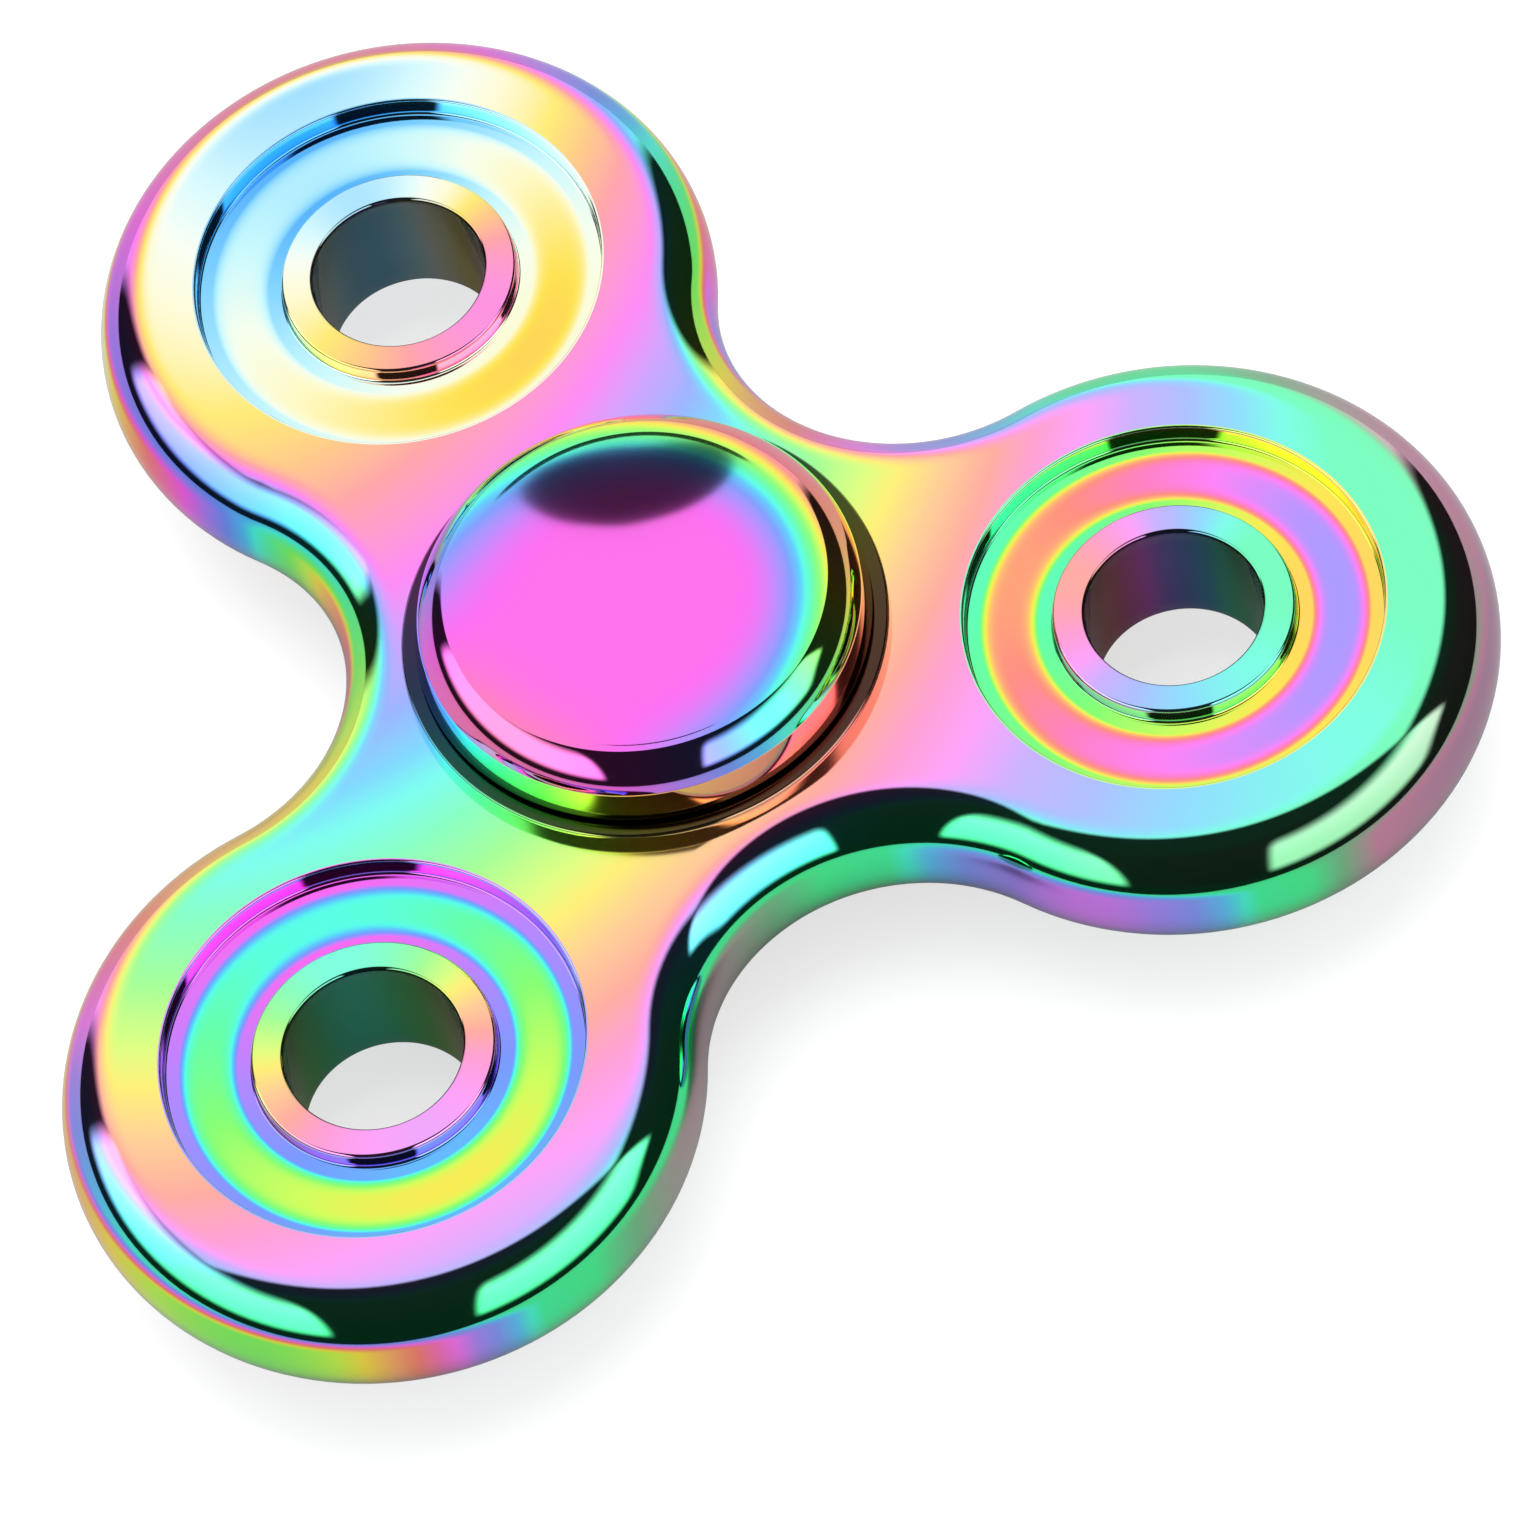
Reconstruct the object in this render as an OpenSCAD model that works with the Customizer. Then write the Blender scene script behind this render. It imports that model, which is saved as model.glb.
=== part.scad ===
// Three-lobed fidget spinner with a ball bearing hub, in millimetres.
// The spin axis is Z, and the origin is the middle of the body on that axis.
// The lower half of every paired piece is the upper half mirrored in the XY plane.

/* [Body casting] */
// Thickness of the body between its two flat faces, whose edge is a full round
body_t = 7.8; // [6.5:0.1:10]
// Distance from the spin axis to the middle of each lobe
lobe_distance = 26; // [24.5:0.5:33]
// Outer radius of each lobe
lobe_r = 15.8; // [13:0.1:19]
// Distance from the spin axis to the narrowest point between two lobes
waist_reach = 15.5; // [14:0.1:18]

/* [Lobe recess] */
// Diameter of the round recess in each lobe
recess_d = 20.7; // [16:0.1:24]
// Depth of the recess below the face
recess_depth = 1.1; // [0.5:0.1:2]
// Outer diameter of the raised ring inside the recess
ring_d = 12; // [10.6:0.1:14.5]
// Drop of the ring's top below the face
ring_drop = 0.2; // [0:0.05:0.5]
// Diameter of the hole through each lobe
lobe_hole_d = 8.8; // [6:0.1:10]

/* [Bearing seat] */
// Height of the collar round the bearing above the face
collar_h = 0.85; // [0.6:0.05:1.5]
// Wall of the collar round the bearing
collar_wall = 1.1; // [0.8:0.05:1.6]
// Radial clearance of the bearing in its seat, taken up by retaining compound
seat_clearance = 0.01; // [0.005:0.005:0.03]

/* [Bearing] */
// Outer diameter of the bearing
bearing_d = 22; // [21.5:0.1:22.8]
// Bore of the bearing
bearing_bore_d = 8; // [6.6:0.1:8.6]
// Width of the bearing
bearing_w = 7; // [6.6:0.1:8.4]
// Diameter of the circle through the middles of the balls
pitch_d = 15; // [14.8:0.05:15.2]
// Diameter of each ball
ball_d = 3.969; // [3.6:0.001:4.1]
// Clearance between a ball and the bottom of a raceway
race_clearance = 0.045; // [0.02:0.005:0.08]
// Diameter of the inner ring's shoulders
inner_shoulder_d = 12.1; // [11.7:0.05:12.4]
// Diameter of the outer ring's shoulders
outer_shoulder_d = 17.9; // [17.6:0.05:18.3]
// Chamfer on the corners of both rings
ring_chamfer = 0.3; // [0.1:0.05:0.4]

/* [Ball cage] */
// Thickness of the cage's sheet
cage_t = 0.4; // [0.25:0.05:0.5]
// Width of the cage's band, measured along a radius
cage_band = 1.5; // [1.2:0.05:2]
// Clearance between a ball and its pocket
pocket_clearance = 0.08; // [0.05:0.01:0.12]
// Diameter of a rivet's shank
rivet_d = 0.6; // [0.4:0.05:0.7]
// Diameter of a rivet's head
rivet_head_d = 1; // [0.8:0.05:1.2]
// Thickness of a rivet's head
rivet_head_t = 0.15; // [0.1:0.05:0.25]
// Radial clearance of a rivet in its hole
rivet_clearance = 0.02; // [0.01:0.01:0.04]

/* [Shields] */
// Thickness of a shield
shield_t = 0.3; // [0.2:0.05:0.4]
// Gap between a shield and the inner ring
shield_gap = 0.2; // [0.15:0.05:0.3]
// Diameter of the step in the outer ring that carries a shield
shield_seat_d = 18.9; // [18.7:0.05:19.2]
// Depth of that step, measured from the ring's end face
shield_seat_depth = 0.8; // [0.75:0.05:0.95]
// Diameter of the snap ring's wire
clip_wire_d = 0.36; // [0.2:0.02:0.4]
// Opening between the snap ring's two ends, in degrees
clip_opening = 24; // [10:1:40]
// Clearance of a snap ring in its groove
clip_clearance = 0.02; // [0.01:0.01:0.04]

/* [Finger caps] */
// Outer diameter of a cap at its lower edge
cap_d = 22.7; // [21:0.1:26]
// Gap between the collar's rim and the cap's underside
cap_gap = 0.3; // [0.2:0.05:0.6]
// Height of the skirt, from the underside to the crease under the shoulder
skirt_h = 1.7; // [1.2:0.05:2.5]
// How far the skirt draws in from its lower edge to the crease
skirt_draft = 0.35; // [0.1:0.05:0.6]
// Height of the shoulder, from the crease to the rim
shoulder_h = 1.75; // [1.4:0.05:2.2]
// Width of the fine ledge at the crease, where the shoulder starts
crease_step = 0.05; // [0.02:0.01:0.1]
// Width of the shoulder, from the ledge in to the rim
shoulder_w = 1.5; // [1.2:0.05:1.9]
// Radius of the shoulder's curve
shoulder_r = 3.3; // [2:0.1:4]
// Width of the flat rim round the finger dish
rim_land = 0.4; // [0.2:0.05:0.8]
// Depth of the finger dish below the rim
dish_depth = 1; // [0.5:0.1:1.4]
// Diameter of the boss that bears on the bearing's inner ring
cap_boss_d = 11.4; // [9.5:0.1:11.6]
// Length of the stem inside the bearing's bore
stem_l = 3.2; // [2.6:0.1:3.4]
// Radial clearance of the stem in the bearing's bore
stem_clearance = 0.01; // [0.005:0.005:0.03]

/* [Stud] */
// Nominal diameter of the threaded stud that joins the two caps
stud_d = 4; // [3:0.5:5]
// Length of the stud
stud_l = 11.4; // [9:0.2:12]
// Depth of thread left beyond each end of the stud
stud_run_out = 0.4; // [0.2:0.1:0.8]
// Radial clearance of the stud in its threaded holes
thread_clearance = 0.02; // [0.01:0.01:0.04]
// Chamfer on each end of the stud
stud_chamfer = 0.4; // [0.2:0.1:0.6]
// Width across the flats of the hexagon socket in the stud's upper end
socket_af = 2; // [1.5:0.1:2.5]
// Depth of that socket
socket_depth = 1.6; // [1:0.1:2]

/* [Hidden] */
$fn = 96;
LOBES = 3;
BALLS = 7;
cut = 1;                                     // how far a cutter runs past what it cuts
lobe_half_angle = 180 / LOBES;               // angle from a lobe's arm to the next waist
face_z = body_t / 2;                         // height of the upper face
web_relief = 0.1;                            // how far the web lies below the lobes' faces
web_z = face_z - web_relief;                 // half the web's thickness

// A waist's arc passes through waist_reach and runs arc_lap into both neighbouring lobes,
// so that the two round edges cross. Its radius is kept to a hundredth of a millimetre.
arc_lap = 0.1;
web_lap = 2;                                 // how far a waist's edge runs into the web
lap_r = lobe_r - arc_lap;
waist_r = round(100 * (pow(lobe_distance, 2) + pow(waist_reach, 2) - pow(lap_r, 2)
                       - 2 * lobe_distance * waist_reach * cos(lobe_half_angle))
                / (2 * lap_r - 2 * waist_reach + 2 * lobe_distance * cos(lobe_half_angle))) / 100;
waist_distance = waist_reach + waist_r;
waist_xy = waist_distance * [cos(lobe_half_angle), sin(lobe_half_angle)];
// Half the waist's arc, from its narrowest point to the line between the two middles
waist_half_angle = atan2(waist_xy[1], waist_xy[0] - lobe_distance) - lobe_half_angle;

collar_r = bearing_d / 2 + collar_wall;
collar_z = face_z + collar_h;

ball_r = ball_d / 2;
pitch_r = pitch_d / 2;
race_r = ball_r + race_clearance;
shield_seat_z = bearing_w / 2 - shield_seat_depth;
clip_r = shield_seat_d / 2;
clip_z = shield_seat_z + shield_t + clip_clearance + clip_wire_d / 2;
clip_groove_r = clip_r + clip_wire_d / 2 + clip_clearance;

cap_r = cap_d / 2;
underside_z = collar_z + cap_gap;
crease_r = cap_r - skirt_draft;
crease_z = underside_z + skirt_h;
rim_r = crease_r - crease_step - shoulder_w;
rim_z = crease_z + shoulder_h;
shoulder_chord = norm([shoulder_w, shoulder_h]);
// The shoulder's arc runs from the ledge to the rim, bulging outwards; it laps arc_lap over
// the core inside it.
shoulder_sag = sqrt(pow(shoulder_r, 2) - pow(shoulder_chord / 2, 2));
shoulder_centre = [rim_r + shoulder_w / 2 - shoulder_sag * shoulder_h / shoulder_chord,
                   rim_z - shoulder_h / 2 - shoulder_sag * shoulder_w / shoulder_chord];
dish_r = rim_r - rim_land;
dish_sphere_r = (pow(dish_r, 2) + pow(dish_depth, 2)) / (2 * dish_depth);
dish_centre_z = rim_z - dish_depth + dish_sphere_r;
boss_z = bearing_w / 2;
stem_end_z = boss_z - stem_l;
stud_hole_z = stud_l / 2 + stud_run_out;

rainbow = [0.80, 0.52, 0.92];
rainbow_cap = [0.88, 0.42, 0.86];
bearing_steel = [0.78, 0.79, 0.81];
ball_steel = [0.86, 0.87, 0.89];
cage_steel = [0.66, 0.65, 0.62];
shield_steel = [0.72, 0.74, 0.76];
spring_steel = [0.30, 0.31, 0.33];
stud_steel = [0.10, 0.10, 0.11];

// ---- Placing -------------------------------------------------------------

// Copies of its children on every lobe's arm; the first arm points along +Y.
module on_each_arm() {
    for (k = [0:LOBES - 1]) rotate(90 + k * 360 / LOBES) children();
}

// The shape and its mirror image below the XY plane.
module on_both_faces() {
    children();
    mirror([0, 0, 1]) children();
}

// The middle of ball number i, seen from the spin axis.
module at_ball(i) {
    rotate((i - 1) * 360 / BALLS) translate([pitch_r, 0, 0]) children();
}

// Copies of its children at every ball.
module at_each_ball() {
    for (i = [1:BALLS]) at_ball(i) children();
}

// Copies of its children midway between neighbouring balls.
module between_balls() {
    rotate(180 / BALLS) at_each_ball() children();
}

// A ring between two radii, from z0 up to z1.
module tube(outer_r, inner_r, z0, z1) {
    translate([0, 0, z0]) difference() {
        cylinder(r = outer_r, h = z1 - z0);
        translate([0, 0, -cut]) cylinder(r = inner_r, h = z1 - z0 + 2 * cut);
    }
}

// ---- Body casting --------------------------------------------------------

// Half section of a slab of the given half thickness, whose edge at edge_x is a full round.
// The slab runs from that edge to slab_x.
module edge_section(half_t, edge_x, slab_x) {
    round_x = edge_x + (slab_x < edge_x ? -half_t : half_t);
    translate([min(slab_x, round_x), -half_t]) square([abs(slab_x - round_x), 2 * half_t]);
    translate([round_x, 0]) circle(r = half_t);
}

// One lobe on the +X arm, as a turned disc with a rounded edge.
module lobe() {
    translate([lobe_distance, 0, 0]) rotate_extrude() edge_section(face_z, lobe_r, 0);
}

// The rounded edge of one waist, as a turned sector that ends inside its two lobes.
module waist() {
    translate([waist_xy[0], waist_xy[1], 0])
        rotate(lobe_half_angle + 180 - waist_half_angle)
            rotate_extrude(angle = 2 * waist_half_angle)
                edge_section(web_z, waist_r, waist_r + web_z + 2 * web_lap);
}

// The flat web that joins the lobes behind the rounded edges of the waists.
module web() {
    // Corners by turns at the middle of a lobe and at the narrowest point of a waist
    corners = [for (k = [0:2 * LOBES - 1])
        let (a = 90 + k * lobe_half_angle, reach = k % 2 == 0 ? lobe_distance : waist_reach)
        reach * [cos(a), sin(a)]];
    translate([0, 0, -web_z]) linear_extrude(2 * web_z) difference() {
        polygon(corners);
        on_each_arm() translate(waist_xy) circle(r = waist_r + web_z + web_lap);
    }
}

// The recess round the raised ring of one lobe, and the drop over the ring.
module lobe_recess() {
    tube(recess_d / 2, ring_d / 2, face_z - recess_depth, face_z + cut);
    translate([0, 0, face_z - ring_drop]) cylinder(d = (ring_d + recess_d) / 2, h = ring_drop + cut);
}

module body() {
    color(rainbow) difference() {
        union() {
            web();
            on_each_arm() {
                lobe();
                waist();
            }
            tube(collar_r, bearing_d / 2 - collar_wall, -collar_z, collar_z);
        }
        cylinder(r = bearing_d / 2 + seat_clearance, h = 2 * (collar_z + cut), center = true);
        on_each_arm() translate([lobe_distance, 0, 0]) {
            cylinder(d = lobe_hole_d, h = body_t + 2 * cut, center = true);
            on_both_faces() lobe_recess();
        }
    }
}

// ---- Bearing -------------------------------------------------------------

// Half section of a bearing ring with chamfers on the corners at the given radius.
module chamfered_section(inner_r, outer_r, inner_chamfer, outer_chamfer) {
    half = bearing_w / 2;
    polygon([
        [inner_r, -half + inner_chamfer], [inner_r + inner_chamfer, -half],
        [outer_r - outer_chamfer, -half], [outer_r, -half + outer_chamfer],
        [outer_r, half - outer_chamfer], [outer_r - outer_chamfer, half],
        [inner_r + inner_chamfer, half], [inner_r, half - inner_chamfer]]);
}

module bearing_outer_ring() {
    color(bearing_steel) rotate_extrude() difference() {
        chamfered_section(outer_shoulder_d / 2, bearing_d / 2, 0, ring_chamfer);
        translate([pitch_r, 0]) circle(r = race_r);
        for (side = [-1, 1]) {
            // Step for the shield and the groove for its snap ring
            translate([pitch_r, side * (shield_seat_z + cut) - cut])
                square([shield_seat_d / 2 - pitch_r, 2 * cut]);
            translate([pitch_r, side * clip_z - clip_wire_d / 2 - clip_clearance])
                square([clip_groove_r - pitch_r, clip_wire_d + 2 * clip_clearance]);
        }
    }
}

module bearing_inner_ring() {
    color(bearing_steel) rotate_extrude() difference() {
        chamfered_section(bearing_bore_d / 2, inner_shoulder_d / 2, ring_chamfer, 0);
        translate([pitch_r, 0]) circle(r = race_r);
    }
}

module ball(i) {
    color(ball_steel) at_ball(i) sphere(r = ball_r);
}

// The upper half of the riveted ribbon cage: a flat band with a half shell at each ball.
module cage_half() {
    pocket_r = ball_r + pocket_clearance;
    shell_r = pocket_r + cage_t;
    difference() {
        intersection() {
            union() {
                cylinder(r = pitch_r + cage_band, h = cage_t);
                at_each_ball() sphere(r = shell_r);
            }
            tube(pitch_r + cage_band / 2, pitch_r - cage_band / 2, 0, shell_r + cut);
        }
        at_each_ball() sphere(r = pocket_r);
        between_balls() cylinder(r = rivet_d / 2 + rivet_clearance, h = 2 * (cage_t + cut), center = true);
    }
}

module cage_upper() {
    color(cage_steel) cage_half();
}

module cage_lower() {
    color(cage_steel) mirror([0, 0, 1]) cage_half();
}

module cage_rivets() {
    color(cage_steel) between_balls() {
        cylinder(d = rivet_d, h = 2 * cage_t, center = true);
        on_both_faces() translate([0, 0, cage_t]) cylinder(d = rivet_head_d, h = rivet_head_t);
    }
}

// ---- Shields -------------------------------------------------------------

module shield() {
    tube(shield_seat_d / 2 - seat_clearance, inner_shoulder_d / 2 + shield_gap,
         shield_seat_z, shield_seat_z + shield_t);
}

module shield_upper() {
    color(shield_steel) shield();
}

module shield_lower() {
    color(shield_steel) mirror([0, 0, 1]) shield();
}

// An open wire ring that holds a shield on its step.
module snap_ring() {
    translate([0, 0, clip_z]) rotate(clip_opening / 2)
        rotate_extrude(angle = 360 - clip_opening)
            translate([clip_r, 0]) circle(d = clip_wire_d);
}

module snap_ring_upper() {
    color(spring_steel) snap_ring();
}

module snap_ring_lower() {
    color(spring_steel) mirror([0, 0, 1]) snap_ring();
}

// ---- Finger caps ---------------------------------------------------------

// Half section of the upper cap, with its boss and its stem.
module cap_section() {
    stem_r = bearing_bore_d / 2 - stem_clearance;
    difference() {
        union() {
            polygon([[0, underside_z], [cap_r, underside_z], [crease_r, crease_z], [0, crease_z]]);
            translate([0, crease_z]) square([rim_r - arc_lap, shoulder_h]);
            intersection() {
                translate(shoulder_centre) circle(r = shoulder_r);
                translate([shoulder_centre[0], crease_z]) square([2 * shoulder_r, shoulder_h]);
            }
            translate([0, boss_z]) square([cap_boss_d / 2, underside_z - boss_z]);
            translate([0, stem_end_z]) square([stem_r, stem_l]);
        }
        translate([0, stem_end_z - cut])
            square([stud_d / 2 + thread_clearance, stud_hole_z - stem_end_z + cut]);
    }
}

module cap() {
    difference() {
        rotate_extrude() cap_section();
        translate([0, 0, dish_centre_z]) sphere(r = dish_sphere_r, $fn = 240);
    }
}

module cap_upper() {
    color(rainbow_cap) cap();
}

module cap_lower() {
    color(rainbow_cap) mirror([0, 0, 1]) cap();
}

// The socket set screw that draws the two caps together through the bearing.
module cap_stud() {
    stud_r = stud_d / 2;
    half = stud_l / 2;
    color(stud_steel) difference() {
        rotate_extrude() polygon([
            [0, -half], [stud_r - stud_chamfer, -half], [stud_r, -half + stud_chamfer],
            [stud_r, half - stud_chamfer], [stud_r - stud_chamfer, half], [0, half]]);
        translate([0, 0, half - socket_depth])
            cylinder(d = socket_af / cos(30), h = socket_depth + cut, $fn = 6);
    }
}

// ---- Assembly ------------------------------------------------------------

body();
bearing_outer_ring();
bearing_inner_ring();
for (i = [1:BALLS]) ball(i);
cage_upper();
cage_lower();
cage_rivets();
shield_upper();
shield_lower();
snap_ring_upper();
snap_ring_lower();
cap_upper();
cap_lower();
cap_stud();
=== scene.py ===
"""Looks of a three-lobed hand spinner with a rainbow coating and two dished finger caps.

Sizes are in millimetres and are turned to metres once, where a finished mesh is made.
The spin axis is Z, and the origin is the middle of the body on that axis.
"""

import logging
import math
from dataclasses import dataclass, field
from enum import Enum
from typing import Any

import bmesh
import bpy
from mathutils import Matrix, Vector

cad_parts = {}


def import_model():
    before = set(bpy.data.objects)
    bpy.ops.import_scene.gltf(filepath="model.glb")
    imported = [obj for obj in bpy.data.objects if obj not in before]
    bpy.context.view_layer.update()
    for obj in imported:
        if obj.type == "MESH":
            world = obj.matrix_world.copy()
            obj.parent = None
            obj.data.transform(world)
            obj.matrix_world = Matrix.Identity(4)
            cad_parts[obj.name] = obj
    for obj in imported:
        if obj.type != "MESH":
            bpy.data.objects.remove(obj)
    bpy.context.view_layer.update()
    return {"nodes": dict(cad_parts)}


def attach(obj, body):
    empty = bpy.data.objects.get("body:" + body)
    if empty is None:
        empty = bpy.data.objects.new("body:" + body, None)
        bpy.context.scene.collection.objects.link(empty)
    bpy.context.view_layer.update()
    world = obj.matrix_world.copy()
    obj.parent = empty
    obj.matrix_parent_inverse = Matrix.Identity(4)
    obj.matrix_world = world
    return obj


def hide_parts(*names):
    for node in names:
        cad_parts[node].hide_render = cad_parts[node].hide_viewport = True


LOG = logging.getLogger("spinner")
MM = 0.001
CM_PER_MM = 0.1
UP = Vector((0, 0, 1))
WELD = 1e-4  # mm: points closer than this are one point
SHARP = math.radians(35)  # edges that turn more than this are shown sharp


# ---- Small tools ------------------------------------------------------------


def linear(code: str) -> tuple[float, float, float, float]:
    """Turn an sRGB hex colour to linear light.

    Args:
        code: Colour such as "#ffcc00".

    Returns:
        Red, green, blue and an alpha of 1.
    """
    parts = [int(code[i : i + 2], 16) / 255 for i in (1, 3, 5)]
    red, green, blue = [p / 12.92 if p <= 0.04045 else ((p + 0.055) / 1.055) ** 2.4 for p in parts]
    return red, green, blue, 1.0


def add_node(
    tree: bpy.types.NodeTree,
    kind: str,
    settings: dict[str, Any] | None = None,
    inputs: dict[int | str, Any] | None = None,
) -> bpy.types.Node:
    """Add one node with its settings and inputs.

    Args:
        tree: Node tree that gets the node.
        kind: Blender's type name of the node.
        settings: Properties of the node by name.
        inputs: Inputs by name or number, each a fixed value or the output that feeds it.

    Returns:
        The new node.
    """
    node = tree.nodes.new(kind)
    for name, value in (settings or {}).items():
        setattr(node, name, value)
    for key, value in (inputs or {}).items():
        if isinstance(value, bpy.types.NodeSocket):
            tree.links.new(value, node.inputs[key])
        else:
            node.inputs[key].default_value = value
    return node


def maths(
    tree: bpy.types.NodeTree, operation: str, *inputs: Any, clamp: bool = False
) -> bpy.types.NodeSocket:
    """Add one maths node.

    Args:
        tree: Node tree that gets the node.
        operation: Blender's name of the operation.
        inputs: Numbers or sockets, in the node's order.
        clamp: Whether the result is kept between 0 and 1.

    Returns:
        The socket that carries the result.
    """
    settings = {"operation": operation, "use_clamp": clamp}
    return add_node(tree, "ShaderNodeMath", settings, dict(enumerate(inputs))).outputs[0]


def vectors(tree: bpy.types.NodeTree, operation: str, *inputs: Any) -> bpy.types.NodeSocket:
    """Add one vector maths node.

    Args:
        tree: Node tree that gets the node.
        operation: Blender's name of the operation.
        inputs: Vectors, numbers or sockets, in the node's order.

    Returns:
        The socket that carries the result, a number for a length, distance or dot product.
    """
    keys = (0, "Scale") if operation == "SCALE" else range(len(inputs))
    node = add_node(tree, "ShaderNodeVectorMath", {"operation": operation}, dict(zip(keys, inputs)))
    return node.outputs["Value" if operation in ("LENGTH", "DISTANCE", "DOT_PRODUCT") else "Vector"]


def eased(
    tree: bpy.types.NodeTree,
    value: bpy.types.NodeSocket,
    span: tuple[float, float],
    ends: tuple[float, float] = (0.0, 1.0),
    smooth: bool = True,
) -> bpy.types.NodeSocket:
    """Turn a value's course over a span into a course between two ends.

    Args:
        tree: Node tree that gets the node.
        value: Value to turn.
        span: Values at which the course starts and stops.
        ends: Results there and beyond.
        smooth: Whether the course eases in and out, or runs straight.

    Returns:
        The socket that carries the result.
    """
    inputs = {"Value": value, "From Min": span[0], "From Max": span[1], "To Min": ends[0], "To Max": ends[1]}
    kind = "SMOOTHSTEP" if smooth else "LINEAR"
    return add_node(tree, "ShaderNodeMapRange", {"interpolation_type": kind}, inputs).outputs[0]


def mixed(tree: bpy.types.NodeTree, share: Any, first: Any, second: Any) -> bpy.types.NodeSocket:
    """Mix two numbers.

    Args:
        tree: Node tree that gets the node.
        share: Share of the second.
        first: First number.
        second: Second number.

    Returns:
        The socket that carries the mix.
    """
    return add_node(tree, "ShaderNodeMix", {"data_type": "FLOAT"}, {0: share, 2: first, 3: second}).outputs[0]


def part_of(tree: bpy.types.NodeTree, vector: bpy.types.NodeSocket, axis: str) -> bpy.types.NodeSocket:
    """Take one coordinate of a vector.

    Args:
        tree: Node tree that gets the node.
        vector: Vector to take it from.
        axis: "X", "Y" or "Z".

    Returns:
        The socket that carries the coordinate.
    """
    return add_node(tree, "ShaderNodeSeparateXYZ", inputs={0: vector}).outputs[axis]


def empty_material(name: str) -> bpy.types.Material:
    """Make a material without nodes.

    Args:
        name: Its name.

    Returns:
        The material, whose node tree is empty.
    """
    made = bpy.data.materials.new(name)
    made.use_nodes = True
    made.node_tree.nodes.clear()
    return made


def fill_ramp(ramp: bpy.types.ColorRamp, stops: list[tuple[float, str]], span: float = 1.0) -> None:
    """Give a colour ramp its stops.

    Args:
        ramp: Ramp to fill.
        stops: Place and sRGB hex colour of each stop, in rising order.
        span: Place that becomes the ramp's right end.
    """
    while len(ramp.elements) < len(stops):
        ramp.elements.new(1.0)
    for element, (place, code) in zip(ramp.elements, stops):
        element.position = place / span
        element.color = linear(code)


def finished(bm: bmesh.types.BMesh, name: str, material: bpy.types.Material) -> bpy.types.Object:
    """Turn a mesh in millimetres into a smooth-shaded object at the origin.

    Args:
        bm: Mesh to use up.
        name: Name of the object.
        material: Its material.

    Returns:
        The new object, linked to the scene.
    """
    bmesh.ops.remove_doubles(bm, verts=bm.verts, dist=WELD)
    bmesh.ops.recalc_face_normals(bm, faces=bm.faces)
    bmesh.ops.scale(bm, vec=(MM, MM, MM), verts=bm.verts)
    for face in bm.faces:
        face.smooth = True
    for edge in bm.edges:
        edge.smooth = edge.calc_face_angle(0.0) < SHARP
    mesh = bpy.data.meshes.new(name)
    bm.to_mesh(mesh)
    bm.free()
    mesh.materials.append(material)
    piece = bpy.data.objects.new(name, mesh)
    bpy.context.scene.collection.objects.link(piece)
    return piece


class Profile:
    """A half section drawn in the XZ plane, to be turned about an upright axis."""

    def __init__(self, start: tuple[float, float]) -> None:
        """Start the section.

        Args:
            start: Radius and height of its first point.
        """
        self.bm = bmesh.new()
        self.first = self.last = self.bm.verts.new((start[0], 0, start[1]))
        self.rounded: list[tuple[bmesh.types.BMVert, float]] = []

    def to(self, radius: float, height: float, rounding: float = 0.0) -> "Profile":
        """Draw a straight line to a point.

        Args:
            radius: Radius of the point.
            height: Height of the point.
            rounding: How far back along both lines its corner is rounded.

        Returns:
            The section itself.
        """
        new = bmesh.ops.extrude_vert_indiv(self.bm, verts=[self.last])["verts"][0]
        new.co = (radius, 0, height)
        self.last = new
        if rounding:
            self.rounded.append((new, rounding))
        return self

    def arc(self, centre: tuple[float, float], degrees: float, steps: int) -> "Profile":
        """Draw an arc from the last point.

        Args:
            centre: Radius and height of the arc's centre.
            degrees: Angle of the arc; positive turns from +Z towards +X.
            steps: Number of straight steps.

        Returns:
            The section itself.
        """
        made = bmesh.ops.spin(
            self.bm, geom=[self.last], cent=(centre[0], 0, centre[1]), axis=(0, 1, 0),
            angle=math.radians(degrees), steps=steps, use_merge=False,
        )
        self.last = [g for g in made["geom_last"] if isinstance(g, bmesh.types.BMVert)][0]
        return self

    def close(self) -> "Profile":
        """Join the last point to the first."""
        self.bm.edges.new((self.last, self.first))
        return self

    def turn(self, steps: int, segments: int = 4, at: tuple[float, float] = (0.0, 0.0)) -> bmesh.types.BMesh:
        """Round the marked corners and turn the section all the way round.

        Args:
            steps: Steps of the full turn.
            segments: Segments of each rounded corner.
            at: Place of the axis.

        Returns:
            The turned mesh.
        """
        for vert, size in self.rounded:
            bmesh.ops.bevel(
                self.bm, geom=[vert], offset=size, offset_type="OFFSET", segments=segments,
                profile=0.5, affect="VERTICES", material=-1,
            )
        bmesh.ops.spin(
            self.bm, geom=list(self.bm.verts) + list(self.bm.edges), cent=(0, 0, 0), axis=(0, 0, 1),
            angle=2 * math.pi, steps=steps, use_merge=True,
        )
        bmesh.ops.remove_doubles(self.bm, verts=self.bm.verts, dist=WELD)
        bmesh.ops.translate(self.bm, vec=(at[0], at[1], 0), verts=self.bm.verts)
        return self.bm


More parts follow.
